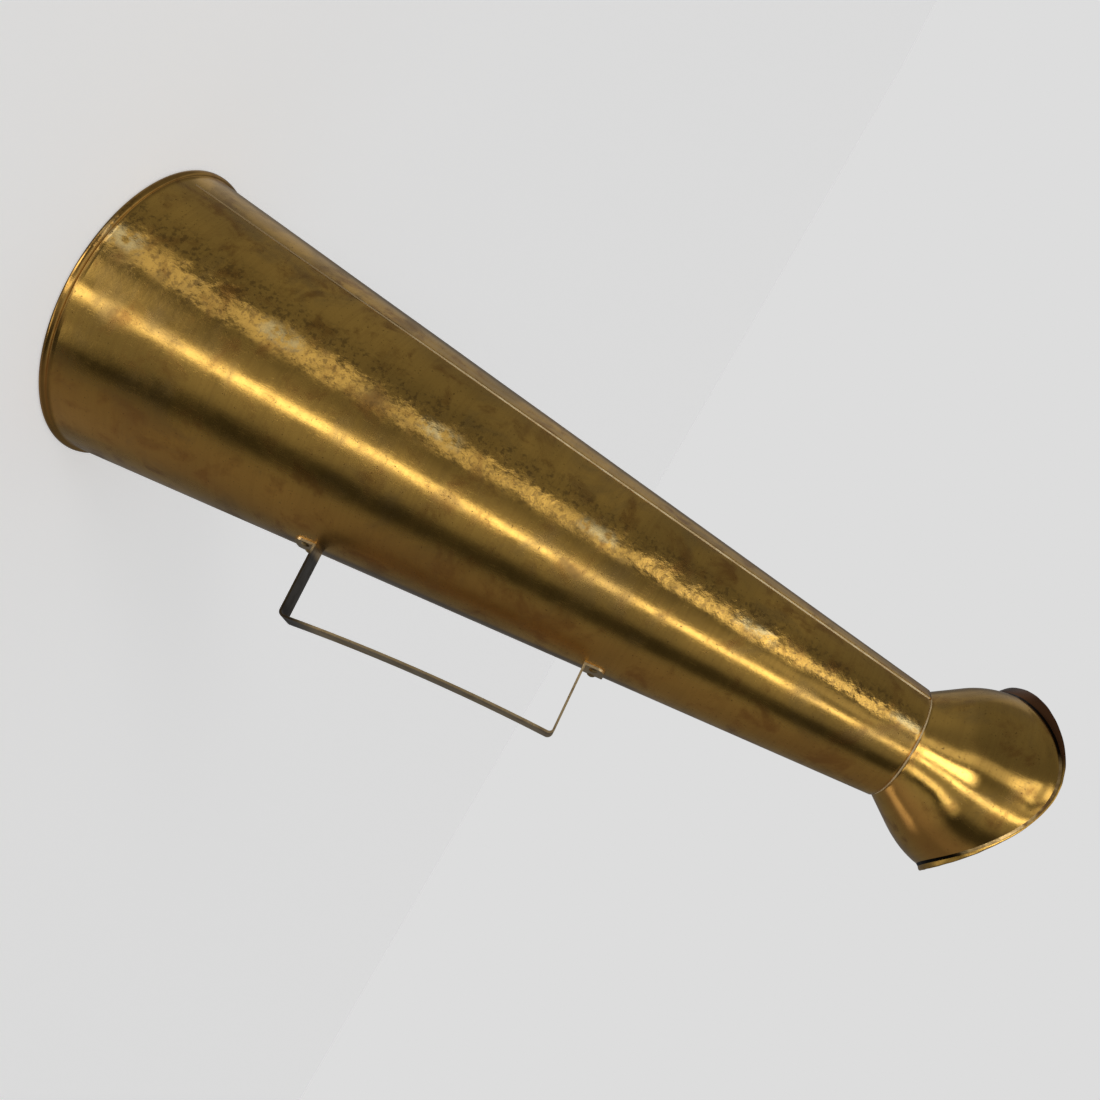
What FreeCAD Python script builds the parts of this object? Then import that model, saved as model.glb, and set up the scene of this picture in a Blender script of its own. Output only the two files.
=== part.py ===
import FreeCAD, Part
import math
import os

import Sketcher

# Brass speaking megaphone, standing on its bell. Millimetres, +Z up the horn from the bell to the mouth,
# origin at the centre of the bell's resting edge, strap handle on the +X side.
DIMENSIONS = {
    # horn: one rolled sheet, lapped and soldered along its length, its bell edge rolled over a wire
    "cone_height": 340.0,
    "bell_radius": 61.4,
    "tip_radius": 22.9,
    "sheet": 0.7,
    "bead_radius": 1.5,
    "bead_flat": 0.2,
    "wall_rise": 1.2,
    "wear_reach": 3.0,
    "wire_radius": 0.78,
    "lap_angle": -132.5,
    "lap_width": 5.0,
    "lap_step": 0.45,
    "lap_root": 0.3,
    "lap_fade": 0.05,
    "lap_margin": 6.0,
    "seam_leg": 0.5,
    "seam_fill": 0.4,
    "seam_margin": 1.0,
    # mouthpiece cup: a neck that plugs into the tip, a flare, a shoulder and a nearly straight belly
    "neck_length": 14.0,
    "neck_gap": 0.2,
    "neck_taper": 0.107,
    "neck_film": 12.0,
    "neck_fillet": 0.4,
    "neck_fillet_rise": 0.8,
    "neck_fillet_top": 0.16,
    "cup_wall": 0.8,
    "cup_start": 1.0,
    "shoulder_rise": 12.5,
    "shoulder_arc": 34.0,
    "belly_rise": 32.5,
    "belly_radius": 36.9,
    "belly_arc": 100.0,
    "blank_rise": 54.0,
    "cutter_radius": 52.0,
    "cutter_rise": 65.0,
    # saddle-shaped mouth, high at the cheeks and low at nose and chin, with an outward lip
    # that leans forward and is widest at the nose, opposite the handle
    "saddle_mean": 35.24,
    "saddle_swing": 9.98,
    "saddle_tilt": -0.54,
    "mouth_twist": -7.45,
    "lip_width": 2.18,
    "lip_swing": 0.51,
    "lip_lead": 0.66,
    "lip_slope": 0.715,
    "lip_slope_swing": 0.165,
    "lip_thickness": 0.9,
    "lip_edge": 0.55,
    "lip_fillet": 0.55,
    # strap handle: bent from one strip, a foot at each end hammered to the horn's curve,
    # two small rivets side by side through each foot
    "strap_width": 15.2,
    "strap_thickness": 0.9,
    "grip_low_x": 78.35,
    "grip_low_z": 115.2,
    "grip_high_x": 65.15,
    "grip_high_z": 226.65,
    "grip_bow": 1.7,
    "leg_lean_bell": 6.6,
    "leg_lean_mouth": 4.5,
    "leg_overrun": 1.5,
    "bend_radius": 1.8,
    "foot_length": 8.4,
    "foot_corner": 3.0,
    "rivet_offset": 3.9,
    "rivet_spread": 4.7,
    "shank_radius": 0.9,
    "rivet_clearance": 0.03,
    "head_radius": 1.8,
    "head_height": 0.8,
    "hole_reach": 6.0,
    "burr_radius": 2.2,
    "burr_thickness": 0.5,
    "burr_gap": 0.15,
    "tail_radius": 1.5,
    "tail_height": 0.6,
    "tail_crown_radius": 0.9,
    "tail_crown_height": 0.5,
}

RING_POINTS = 48          # points of each closed curve round the saddle-shaped mouth

doc = FreeCAD.newDocument("megaphone")


def make_sheet():
    """The driving dimensions, one aliased cell each."""
    cells = doc.addObject("Spreadsheet::Sheet", "dims")
    for row, (alias, value) in enumerate(DIMENSIONS.items(), start=1):
        cells.set(f"A{row}", alias)
        cells.set(f"B{row}", str(value))
        cells.setAlias(f"B{row}", alias)
    doc.recompute()
    return cells


sheet = make_sheet()


def size(alias):
    return float(sheet.get(alias))


# Heights used by several pieces, as expressions over the sheet.
BEAD_Z = "(dims.bead_radius - dims.bead_flat)"
TIP_Z = f"({BEAD_Z} + dims.cone_height)"
TAPER = "((dims.bell_radius - dims.tip_radius) / dims.cone_height)"
bead_z = size("bead_radius") - size("bead_flat")
tip_z = bead_z + size("cone_height")
taper = (size("bell_radius") - size("tip_radius")) / size("cone_height")


def cone_radius(height):
    """Outer radius of the horn at a height."""
    return size("bell_radius") - taper * (height - bead_z)


def new_body(label):
    body = doc.addObject("PartDesign::Body", label)
    body.Label = label
    return body


def origin_plane(body, role):
    for plane in body.Origin.OriginFeatures:
        if plane.Role == role:
            return plane
    raise ValueError(role)


def new_sketch(body, name):
    """A sketch in the body's XZ plane, where sketch x is the radius and sketch y the height."""
    sketch = body.newObject("Sketcher::SketchObject", name)
    sketch.AttachmentSupport = (origin_plane(body, "XZ_Plane"), [""])
    sketch.MapMode = "FlatFace"
    doc.recompute()
    return sketch


def bind(sketch, constraint, name, expression):
    index = sketch.addConstraint(constraint)
    sketch.renameConstraint(index, name)
    sketch.setExpression(f"Constraints.{name}", expression)


def segment(start, end, radius):
    """A straight run where the radius is 0, otherwise an arc of that radius bulging away from the axis."""
    first = FreeCAD.Vector(start[0], start[1], 0)
    last = FreeCAD.Vector(end[0], end[1], 0)
    if not radius:
        return Part.LineSegment(first, last)
    low, high = (first, last) if first.y < last.y else (last, first)
    chord = high - low
    side = FreeCAD.Vector(chord.y, -chord.x, 0).normalize()
    centre = (low + high) * 0.5 - side * math.sqrt(radius ** 2 - (chord.Length / 2) ** 2)
    angles = [math.atan2(point.y - centre.y, point.x - centre.x) for point in (low, high)]
    return Part.ArcOfCircle(Part.Circle(centre, FreeCAD.Vector(0, 0, 1), radius), *angles)


def add_outline(sketch, tag, corners, arcs=None):
    """A closed outline. corners holds (x, y) expressions; arcs maps a run's index to its radius."""
    arcs = arcs or {}
    values = [[float(sketch.evalExpression(text)) for text in corner] for corner in corners]
    count = len(corners)
    first = sketch.GeometryCount
    starts = []
    for i in range(count):
        radius = float(sketch.evalExpression(arcs[i])) if i in arcs else 0.0
        curve = segment(values[i], values[(i + 1) % count], radius)
        sketch.addGeometry(curve)
        from_start = (sketch.Geometry[first + i].StartPoint
                      - FreeCAD.Vector(values[i][0], values[i][1], 0)).Length < 1e-6
        starts.append(1 if from_start else 2)
    for i in range(count):
        follower = (i + 1) % count
        sketch.addConstraint(Sketcher.Constraint(
            "Coincident", first + i, 3 - starts[i], first + follower, starts[follower]))
    for i in range(count):
        for axis, kind in enumerate(("DistanceX", "DistanceY")):
            constraint = Sketcher.Constraint(kind, -1, 1, first + i, starts[i], values[i][axis])
            bind(sketch, constraint, f"{tag}_{'xy'[axis]}{i}", corners[i][axis])
    for i, radius in arcs.items():
        constraint = Sketcher.Constraint("Radius", first + i, float(sketch.evalExpression(radius)))
        bind(sketch, constraint, f"{tag}_radius{i}", radius)


def add_circle(sketch, tag, centre, radius):
    x, y, r = (float(sketch.evalExpression(text)) for text in (*centre, radius))
    index = sketch.addGeometry(Part.Circle(FreeCAD.Vector(x, y, 0), FreeCAD.Vector(0, 0, 1), r))
    bind(sketch, Sketcher.Constraint("DistanceX", -1, 1, index, 3, x), f"{tag}_x", centre[0])
    bind(sketch, Sketcher.Constraint("DistanceY", -1, 1, index, 3, y), f"{tag}_y", centre[1])
    bind(sketch, Sketcher.Constraint("Radius", index, r), f"{tag}_radius", radius)


def revolve(body, sketch, name, kind="PartDesign::Revolution"):
    """Turn a sketch a full circle round the body's Z axis."""
    turned = body.newObject(kind, name)
    turned.Profile = sketch
    turned.ReferenceAxis = (sketch, ["V_Axis"])
    turned.Angle = 360.0
    doc.recompute()
    return turned


def turned_body(label, corners, arcs=None):
    """A round piece from one closed outline in the XZ plane."""
    body = new_body(label)
    sketch = new_sketch(body, f"{label}_outline")
    add_outline(sketch, "edge", corners, arcs)
    revolve(body, sketch, f"{label}_turn")
    return body


def feature(label, shape):
    """A piece whose shape comes from Part's own functions."""
    piece = doc.addObject("Part::Feature", label)
    piece.Label = label
    piece.Shape = shape
    piece.Placement = FreeCAD.Placement()
    return piece


def boolean(kind, label, base, tool):
    result = doc.addObject(kind, label)
    result.Label = label
    result.Base = base
    result.Tool = tool
    doc.recompute()
    return result


# Horn ------------------------------------------------------------------------------------------------

def make_horn_wall():
    """The conical wall and the rolled bell edge, worn flat where it stands."""
    body = new_body("horn_wall")
    wall_foot = f"({BEAD_Z} + dims.wall_rise)"
    foot_radius = f"(dims.bell_radius - {TAPER} * dims.wall_rise)"
    wall = new_sketch(body, "wall_outline")
    add_outline(wall, "wall", [
        (foot_radius, wall_foot),
        ("dims.tip_radius", TIP_Z),
        ("dims.tip_radius - dims.sheet", TIP_Z),
        (f"{foot_radius} - dims.sheet", wall_foot),
    ])
    revolve(body, wall, "wall_turn")

    bead = new_sketch(body, "bead_outline")
    add_circle(bead, "roll", ("dims.bell_radius", BEAD_Z), "dims.bead_radius")
    add_circle(bead, "hollow", ("dims.bell_radius", BEAD_Z), "dims.bead_radius - dims.sheet")
    revolve(body, bead, "bead_turn")
    round_volume = body.Shape.Volume

    wear = new_sketch(body, "wear_outline")
    add_outline(wear, "wear", [
        ("dims.bell_radius - dims.wear_reach", "0 - dims.bead_radius"),
        ("dims.bell_radius + dims.wear_reach", "0 - dims.bead_radius"),
        ("dims.bell_radius + dims.wear_reach", "0"),
        ("dims.bell_radius - dims.wear_reach", "0"),
    ])
    revolve(body, wear, "wear_cut", "PartDesign::Groove")
    if not body.Shape.Volume < round_volume:
        raise RuntimeError("the worn flat cut nothing")
    return body


def on_cone(angle, height, lift):
    """A point lifted off the horn's outer surface, at an angle in degrees."""
    radius = cone_radius(height) + lift
    turn = math.radians(angle)
    return FreeCAD.Vector(radius * math.cos(turn), radius * math.sin(turn), height)


def lap_prism(low, high, section):
    """A thin strip up the horn. section lists (distance round the horn, lift) corners."""
    wires = []
    for height in (low, high):
        corners = [
            on_cone(size("lap_angle") + math.degrees(across / cone_radius(height)), height, lift)
            for across, lift in section
        ]
        wires.append(Part.makePolygon(corners + corners[:1]))
    return Part.makeLoft(wires, True, True)


def make_lap():
    """The overlapping edge of the sheet: a step on one side, fading into the wall on the other."""
    root = -size("lap_root")
    width = size("lap_width")
    section = [(0.0, root), (0.0, size("lap_step")), (-width, -size("lap_fade")), (-width, root)]
    return feature("sheet_lap", lap_prism(bead_z + size("lap_margin"), tip_z, section))


def make_seam_solder():
    """The line of solder in the corner of the lap."""
    section = [(0.0, 0.0), (size("seam_leg"), 0.0), (0.0, size("seam_fill"))]
    low = bead_z + size("lap_margin")
    return feature("seam_solder", lap_prism(low, tip_z - size("seam_margin"), section))


# Mouthpiece ------------------------------------------------------------------------------------------

def make_cup_blank():
    """The spun cup before its mouth is cut to the saddle."""
    neck_top = "(dims.tip_radius - dims.sheet - dims.neck_gap)"
    neck_foot = f"({neck_top} + dims.neck_taper * (dims.neck_length + dims.cup_start))"
    shoulder = ("(dims.belly_radius - dims.shoulder_arc"
                " + sqrt(dims.shoulder_arc ^ 2 - (dims.belly_rise - dims.shoulder_rise) ^ 2))")
    blank_top = ("(dims.belly_radius - dims.belly_arc"
                 " + sqrt(dims.belly_arc ^ 2 - (dims.blank_rise - dims.belly_rise) ^ 2))")
    outer = [
        (neck_foot, f"{TIP_Z} - dims.neck_length"),
        (neck_top, f"{TIP_Z} + dims.cup_start"),
        (shoulder, f"{TIP_Z} + dims.shoulder_rise"),
        ("dims.belly_radius", f"{TIP_Z} + dims.belly_rise"),
        (blank_top, f"{TIP_Z} + dims.blank_rise"),
    ]
    inner = [(f"{radius} - dims.cup_wall", height) for radius, height in reversed(outer)]
    arcs = {2: "dims.shoulder_arc", 3: "dims.belly_arc", 5: "dims.belly_arc", 6: "dims.shoulder_arc"}
    return turned_body("cup_blank", outer + inner, arcs)


def cup_radius(rise):
    """Outer radius of the cup's shoulder and belly at a rise above the horn's tip."""
    arc = size("shoulder_arc") if rise < size("belly_rise") else size("belly_arc")
    return size("belly_radius") - arc + math.sqrt(arc ** 2 - (rise - size("belly_rise")) ** 2)


def mouth_wave(angle, turns):
    """With 2 turns, 1 at nose and chin and -1 at the cheeks; with 1, 1 only on the handle's side."""
    return math.cos(turns * (angle - math.radians(size("mouth_twist"))))


def rim_rise(angle):
    """Height of the cup's cut edge above the horn's tip."""
    return (size("saddle_mean") - size("saddle_swing") * mouth_wave(angle, 2)
            - size("saddle_tilt") * mouth_wave(angle, 1))


def rim_radius(angle):
    return cup_radius(rim_rise(angle))


def lip_width(angle):
    return size("lip_width") * (1 + size("lip_swing") * mouth_wave(angle, 2)
                                - size("lip_lead") * mouth_wave(angle, 1))


def lip_slope(angle):
    """How far the lip leans forward, away from the horn, for each millimetre outward."""
    return size("lip_slope") + size("lip_slope_swing") * mouth_wave(angle, 2)


def ring_edge(radius_at, rise_at):
    """A closed curve round the mouth, from a radius and a rise for each angle."""
    points = []
    for i in range(RING_POINTS):
        angle = 2 * math.pi * i / RING_POINTS
        radius = radius_at(angle)
        points.append(FreeCAD.Vector(
            radius * math.cos(angle), radius * math.sin(angle), tip_z + rise_at(angle)))
    curve = Part.BSplineCurve()
    curve.interpolate(Points=points, PeriodicFlag=True, Parameters=list(range(RING_POINTS + 1)))
    return curve.toShape()


def ring_solid(corners):
    """A ring whose section's corners are (radius, rise) functions of the angle."""
    edges = [ring_edge(radius_at, rise_at) for radius_at, rise_at in corners]
    faces = [Part.makeRuledSurface(edge, edges[(i + 1) % len(edges)]) for i, edge in enumerate(edges)]
    sewn = Part.makeCompound(faces)
    sewn.sewShape()
    solid = Part.Solid(Part.Shell(sewn.Faces))
    if solid.Volume < 0:
        solid.reverse()
    return solid


def make_mouth_cutter():
    """Everything of the cup's blank above the saddle."""
    inner = size("tip_radius")
    outer = size("cutter_radius")
    top = size("cutter_rise")
    return feature("mouth_cutter", ring_solid([
        (lambda angle: inner, rim_rise),
        (lambda angle: outer, rim_rise),
        (lambda angle: outer, lambda angle: top),
        (lambda angle: inner, lambda angle: top),
    ]))


def make_face_flange():
    """The outward lip soldered on the cup's edge, following its saddle all round."""
    thick = size("lip_thickness")

    def inner(angle):
        return rim_radius(angle) - size("cup_wall")

    def outer(angle):
        return rim_radius(angle) + lip_width(angle)

    def outer_rise(angle):
        return rim_rise(angle) + lip_slope(angle) * lip_width(angle)

    return feature("face_flange", ring_solid([
        (inner, rim_rise),
        (rim_radius, rim_rise),
        (outer, outer_rise),
        (outer, lambda angle: outer_rise(angle) + size("lip_edge")),
        (rim_radius, lambda angle: rim_rise(angle) + thick),
        (inner, lambda angle: rim_rise(angle) + thick),
    ]))


def make_flange_solder():
    """The fillet of solder in the corner behind the lip."""
    leg = size("lip_fillet")

    def low_rise(angle):
        return rim_rise(angle) - leg

    return feature("flange_solder", ring_solid([
        (rim_radius, rim_rise),
        (lambda angle: cup_radius(low_rise(angle)), low_rise),
        (lambda angle: rim_radius(angle) + leg, lambda angle: rim_rise(angle) + lip_slope(angle) * leg),
    ]))


def make_neck_solder():
    """The solder that fills the joint round the neck, and its fillet on the horn's end."""
    neck_top = "(dims.tip_radius - dims.sheet - dims.neck_gap)"
    fillet_top = f"{TIP_Z} + dims.neck_fillet_rise"
    corners = [
        (f"{neck_top} + dims.neck_taper * (dims.neck_film + dims.cup_start)", f"{TIP_Z} - dims.neck_film"),
        (f"dims.tip_radius - dims.sheet + {TAPER} * dims.neck_film", f"{TIP_Z} - dims.neck_film"),
        ("dims.tip_radius - dims.sheet", TIP_Z),
        ("dims.tip_radius - dims.sheet + dims.neck_fillet", TIP_Z),
        (f"{neck_top} + dims.neck_fillet_top", fillet_top),
        (f"{neck_top} + dims.neck_taper * (dims.cup_start - dims.neck_fillet_rise)", fillet_top),
    ]
    return turned_body("neck_solder", corners)


# Handle ----------------------------------------------------------------------------------------------

cone_lean = math.atan(taper)
uphill = FreeCAD.Vector(-math.sin(cone_lean), 0, math.cos(cone_lean))     # along the horn's side at +X
outward = FreeCAD.Vector(math.cos(cone_lean), 0, math.sin(cone_lean))     # square to the horn's side
across = FreeCAD.Vector(0, 1, 0)                                          # along the strap's width

ENDS = {"bell": -1, "mouth": 1}     # the way each foot points along the horn, from its leg


def grip_corner(end):
    """The strap's middle line at one corner of the grip."""
    half = size("strap_thickness") / 2
    level = {"bell": "low", "mouth": "high"}[end]
    return FreeCAD.Vector(size(f"grip_{level}_x") - half, 0, size(f"grip_{level}_z") - ENDS[end] * half)


def leg_direction(end):
    """From the grip towards the horn."""
    lean = math.radians(size(f"leg_lean_{end}"))
    return FreeCAD.Vector(-math.cos(lean), 0, -math.sin(lean))


def leg_root(end):
    """Where a leg's middle line meets the horn's outer surface."""
    corner = grip_corner(end)
    along_leg = leg_direction(end)
    on_horn = FreeCAD.Vector(cone_radius(bead_z), 0, bead_z)
    return corner + along_leg * ((on_horn - corner).dot(outward) / along_leg.dot(outward))


def bend(before, corner, after, radius):
    """A fillet arc at a corner: its first, middle and last points."""
    back = (before - corner).normalize()
    ahead = (after - corner).normalize()
    half_angle = back.getAngle(ahead) / 2
    middle = (back + ahead).normalize()
    tangent = radius / math.tan(half_angle)
    centre = corner + middle * (radius / math.sin(half_angle))
    return corner + back * tangent, centre - middle * radius, corner + ahead * tangent


def strap_wire():
    """The middle line from leg to leg: straight legs that run a little into the horn, two round bends,
    and a grip pressed slightly inward."""
    overrun = size("leg_overrun")
    start = leg_root("bell") + leg_direction("bell") * overrun
    finish = leg_root("mouth") + leg_direction("mouth") * overrun
    low = grip_corner("bell")
    high = grip_corner("mouth")
    low_bend = bend(start, low, high, size("bend_radius"))
    high_bend = bend(low, high, finish, size("bend_radius"))
    grip_middle = (low_bend[2] + high_bend[0]) * 0.5 - outward * size("grip_bow")
    return Part.Wire([
        Part.LineSegment(start, low_bend[0]).toShape(),
        Part.Arc(*low_bend).toShape(),
        Part.Arc(low_bend[2], grip_middle, high_bend[0]).toShape(),
        Part.Arc(*high_bend).toShape(),
        Part.LineSegment(high_bend[2], finish).toShape(),
    ])


def solid_horn(lift):
    """The horn's outside as a solid cone, grown outward by a lift square to its surface."""
    extra = lift / math.cos(cone_lean)
    return Part.makeCone(size("bell_radius") + extra, size("tip_radius") + extra, size("cone_height"),
                         FreeCAD.Vector(0, 0, bead_z))


def foot_plate(end):
    """One foot: a plate on the horn's curve, from its leg's root to a free end with round corners."""
    length = size("foot_length")
    width = size("strap_width")
    depth = size("hole_reach")
    block = Part.makeBox(length, width, 2 * depth)
    free_edges = [edge for edge in block.Edges
                  if all(abs(vertex.X - length) < 1e-6 for vertex in edge.Vertexes)
                  and abs(edge.Vertexes[0].Z - edge.Vertexes[1].Z) > depth]
    block = block.makeFillet(size("foot_corner"), free_edges)
    block.translate(FreeCAD.Vector(0, -width / 2, -depth))
    away = uphill * ENDS[end]
    turn = FreeCAD.Rotation(away, outward.cross(away), outward, "XZY")
    block.Placement = FreeCAD.Placement(leg_root(end), turn).multiply(block.Placement)
    return block.common(solid_horn(size("strap_thickness")).cut(solid_horn(0)))


def rivet_seats():
    """For each rivet, where its axis meets the horn's outer surface, and the axis's direction."""
    seats = {}
    for end, sign in ENDS.items():
        height = (leg_root(end) + uphill * (sign * size("rivet_offset"))).z
        for number, side in enumerate((-1, 1), start=1):
            radius = cone_radius(height)
            angle = math.asin(side * size("rivet_spread") / radius)
            turn = FreeCAD.Rotation(FreeCAD.Vector(0, 0, 1), math.degrees(angle))
            seats[f"{end}_{number}"] = (on_cone(math.degrees(angle), height, 0.0), turn.multVec(outward))
    return seats


def rivet_hole(place, axis):
    """A rod along a rivet's axis, for its hole in the strap and the horn."""
    radius = size("shank_radius") + size("rivet_clearance")
    reach = size("hole_reach")
    return Part.makeCylinder(radius, 2 * reach, place - axis * reach, axis)


def make_handle_strap():
    """The bent strip and its two feet in one piece, fitted to the horn and drilled."""
    half = size("strap_thickness") / 2
    outline = Part.Face(strap_wire().makeOffset2D(half, 0, False, False))
    strap = outline.extrude(across * size("strap_width"))
    strap.translate(across * (-size("strap_width") / 2))
    strap = strap.cut(solid_horn(0))
    for end in ENDS:
        strap = strap.fuse(foot_plate(end))
    strap = strap.removeSplitter()
    for place, axis in rivet_seats().values():
        strap = strap.cut(rivet_hole(place, axis))
    return feature("handle_strap", strap)


def seated(body, place, axis):
    """Put a turned piece on its rivet's seat, its own Z along the rivet's axis."""
    body.Placement = FreeCAD.Placement(place, FreeCAD.Rotation(FreeCAD.Vector(0, 0, 1), axis))
    return body


def make_rivet(name, place, axis):
    """A low domed head on the foot, the shank, and a tail peened over the burr inside the horn."""
    burr_top = "(0 - dims.sheet - dims.burr_gap - dims.burr_thickness)"
    dome = "(dims.head_radius ^ 2 + dims.head_height ^ 2) / (2 * dims.head_height)"
    corners = [
        ("0", f"{burr_top} - dims.tail_height"),
        ("dims.tail_crown_radius", f"{burr_top} - dims.tail_crown_height"),
        ("dims.tail_radius", burr_top),
        ("dims.shank_radius", burr_top),
        ("dims.shank_radius", "dims.strap_thickness"),
        ("dims.head_radius", "dims.strap_thickness"),
        ("0", "dims.strap_thickness + dims.head_height"),
    ]
    return seated(turned_body(f"handle_rivet_{name}", corners, {5: dome}), place, axis)


def make_burr(name, place, axis):
    """The small washer that the rivet's tail is peened over."""
    inner = "dims.shank_radius + dims.rivet_clearance"
    top = "0 - dims.sheet - dims.burr_gap"
    bottom = f"{top} - dims.burr_thickness"
    corners = [(inner, bottom), ("dims.burr_radius", bottom), ("dims.burr_radius", top), (inner, top)]
    return seated(turned_body(f"rivet_burr_{name}", corners), place, axis)


# Assembly --------------------------------------------------------------------------------------------

def make_cone_body():
    """The finished horn: wall, rolled edge and lap, drilled for the handle's rivets."""
    lapped = boolean("Part::Fuse", "lapped_horn", make_horn_wall(), make_lap())
    holes = feature("rivet_holes", Part.makeCompound([rivet_hole(*seat) for seat in rivet_seats().values()]))
    return boolean("Part::Cut", "cone_body", lapped, holes)


def make_bell_rim_wire():
    body = new_body("bell_rim_wire")
    sketch = new_sketch(body, "wire_outline")
    add_circle(sketch, "wire", ("dims.bell_radius", BEAD_Z), "dims.wire_radius")
    revolve(body, sketch, "wire_turn")
    return body


pieces = [
    make_cone_body(),
    make_bell_rim_wire(),
    make_seam_solder(),
    boolean("Part::Cut", "mouthpiece_cup", make_cup_blank(), make_mouth_cutter()),
    make_neck_solder(),
    make_face_flange(),
    make_flange_solder(),
    make_handle_strap(),
]
for seat_name, seat in rivet_seats().items():
    pieces.append(make_rivet(seat_name, *seat))
    pieces.append(make_burr(seat_name, *seat))
doc.recompute()

for thing in doc.Objects:
    if "Invalid" in thing.State or "Error" in thing.State:
        raise RuntimeError(f"{thing.Label} failed: {thing.State}")
for piece in pieces:
    if piece.Shape.isNull() or not piece.Shape.isValid() or len(piece.Shape.Solids) != 1:
        raise RuntimeError(f"{piece.Label} is not one valid solid")

os.makedirs("parts", exist_ok=True)
for piece in pieces:
    piece.Shape.exportStep(f"parts/{piece.Label}.step")
    box = piece.Shape.BoundBox
    print(f"{piece.Label:26s} volume {piece.Shape.Volume:10.1f}  x {box.XMin:7.2f} {box.XMax:7.2f}  "
          f"y {box.YMin:7.2f} {box.YMax:7.2f}  z {box.ZMin:7.2f} {box.ZMax:7.2f}")
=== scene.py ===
import math

import bmesh
import bpy
from mathutils import Matrix, Vector, noise


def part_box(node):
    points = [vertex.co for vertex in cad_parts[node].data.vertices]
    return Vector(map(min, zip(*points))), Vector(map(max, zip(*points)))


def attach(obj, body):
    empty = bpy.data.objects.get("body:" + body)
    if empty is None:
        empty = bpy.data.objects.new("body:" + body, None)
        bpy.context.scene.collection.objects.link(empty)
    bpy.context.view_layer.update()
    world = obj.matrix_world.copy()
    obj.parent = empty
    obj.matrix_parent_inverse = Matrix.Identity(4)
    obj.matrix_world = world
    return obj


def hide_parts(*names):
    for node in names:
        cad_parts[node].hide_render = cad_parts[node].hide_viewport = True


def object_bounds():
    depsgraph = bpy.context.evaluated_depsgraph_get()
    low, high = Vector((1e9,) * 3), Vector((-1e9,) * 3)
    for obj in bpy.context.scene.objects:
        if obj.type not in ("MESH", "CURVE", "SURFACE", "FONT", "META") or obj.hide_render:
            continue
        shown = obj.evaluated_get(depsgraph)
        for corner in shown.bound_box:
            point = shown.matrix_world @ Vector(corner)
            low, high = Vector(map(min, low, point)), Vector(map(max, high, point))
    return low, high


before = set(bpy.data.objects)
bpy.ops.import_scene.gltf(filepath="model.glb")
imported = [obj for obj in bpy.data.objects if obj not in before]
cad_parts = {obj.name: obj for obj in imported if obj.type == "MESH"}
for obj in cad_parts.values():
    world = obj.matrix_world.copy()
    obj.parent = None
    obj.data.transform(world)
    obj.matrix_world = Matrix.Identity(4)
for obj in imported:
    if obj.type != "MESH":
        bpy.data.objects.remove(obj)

CAD_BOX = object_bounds()
MM = 0.001

# ---- Camera, from a fit to the object's outline: beside the horn, rolled so that the axis runs corner to
# corner.
EYE_AZIMUTH = -74.62
EYE_REACH = 0.42596
EYE_HEIGHT = 0.2283
LOOK_AZIMUTH = 105.07
LOOK_RISE = -5.158
CAMERA_ROLL = 119.71
LENS = 35.63
SENSOR = 36.0

# ---- Studio: a dim room with upright strip lights, as name, azimuth, half width, softness and strength.
# A negative strength is a dark flag. Angles are in degrees. They are set so that the highlights on the
# brass fall where the photographed ones do; they are not the room that was there.
BACKDROP = 0.723
ROOM_LEVEL = 0.118
OVERHEAD = 0.35
STRIPS = (
    ("key", -65.2, 3.0, 2.4, 1.85),
    ("key_spill", -62.0, 10.0, 20.0, 0.10),
    ("second", -109.5, 2.5, 9.0, 0.44),
    ("left", 149.0, 6.0, 14.0, 0.17),
    ("left_spill", -170.0, 10.0, 24.0, 0.035),
    ("right", 0.0, 8.0, 10.0, 0.05),
    ("board", 108.0, 8.0, 14.0, 0.03),
    ("flag", -24.0, 7.0, 11.0, -0.085),
    ("low_key", -84.0, 6.0, 5.0, 2.6),
    ("low_second", -34.0, 3.5, 6.0, 1.0),
    ("low_fill", 32.0, 5.0, 6.0, 0.30),
    ("high_second", -86.0, 3.0, 6.0, 0.5),
)
# Strips that change with height: which way they grow (1 up, -1 down), the rise they change between, as the
# sine of the elevation, and their factors there.
GROWING = {
    "second": (1.0, 0.05, 0.44, 1.0, 2.9),
    "low_key": (-1.0, 0.25, 0.55, 0.0, 1.0),
    "low_second": (-1.0, 0.25, 0.55, 0.0, 1.0),
    "low_fill": (-1.0, 0.25, 0.55, 0.0, 1.0),
    "high_second": (1.0, 0.25, 0.55, 0.0, 1.0),
}
POLE_FADE = (0.80, 0.96, 1.0, 0.35)
UNDERSIDE_GAIN = (-0.60, -0.30, 1.4, 1.0)
OVERHEAD_RISE = (0.70, 0.95)
FLOOR_GLOW = 0.615
FLOOR_REACH = 6.0
FLOOR_GAP = 0.0002

# ---- Sizes the CAD nodes carry, read back from them, and the sheet's own small ones.
SHEET = 0.7 * MM
CUP_WALL = 0.8 * MM
EDGE = 0.12 * MM
wire_low, wire_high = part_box("bell_rim_wire")
horn_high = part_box("cone_body")[1]
cup_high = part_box("mouthpiece_cup")[1]
WIRE_RADIUS = (wire_high.z - wire_low.z) / 2
BEAD_Z = (wire_high.z + wire_low.z) / 2
BELL_RADIUS = wire_high.x - WIRE_RADIUS
BEAD_RADIUS = horn_high.x - BELL_RADIUS
TIP_Z = horn_high.z
TIP_RADIUS = max(math.hypot(v.co.x, v.co.y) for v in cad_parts["cone_body"].data.vertices
                 if v.co.y > 0.0 and v.co.z > TIP_Z - MM)
TAPER = (BELL_RADIUS - TIP_RADIUS) / (TIP_Z - BEAD_Z)

LAP_ANGLE = math.radians(-132.5)
LAP_WIDTH = 5.0 * MM
LAP_STEP = 0.5 * MM

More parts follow.
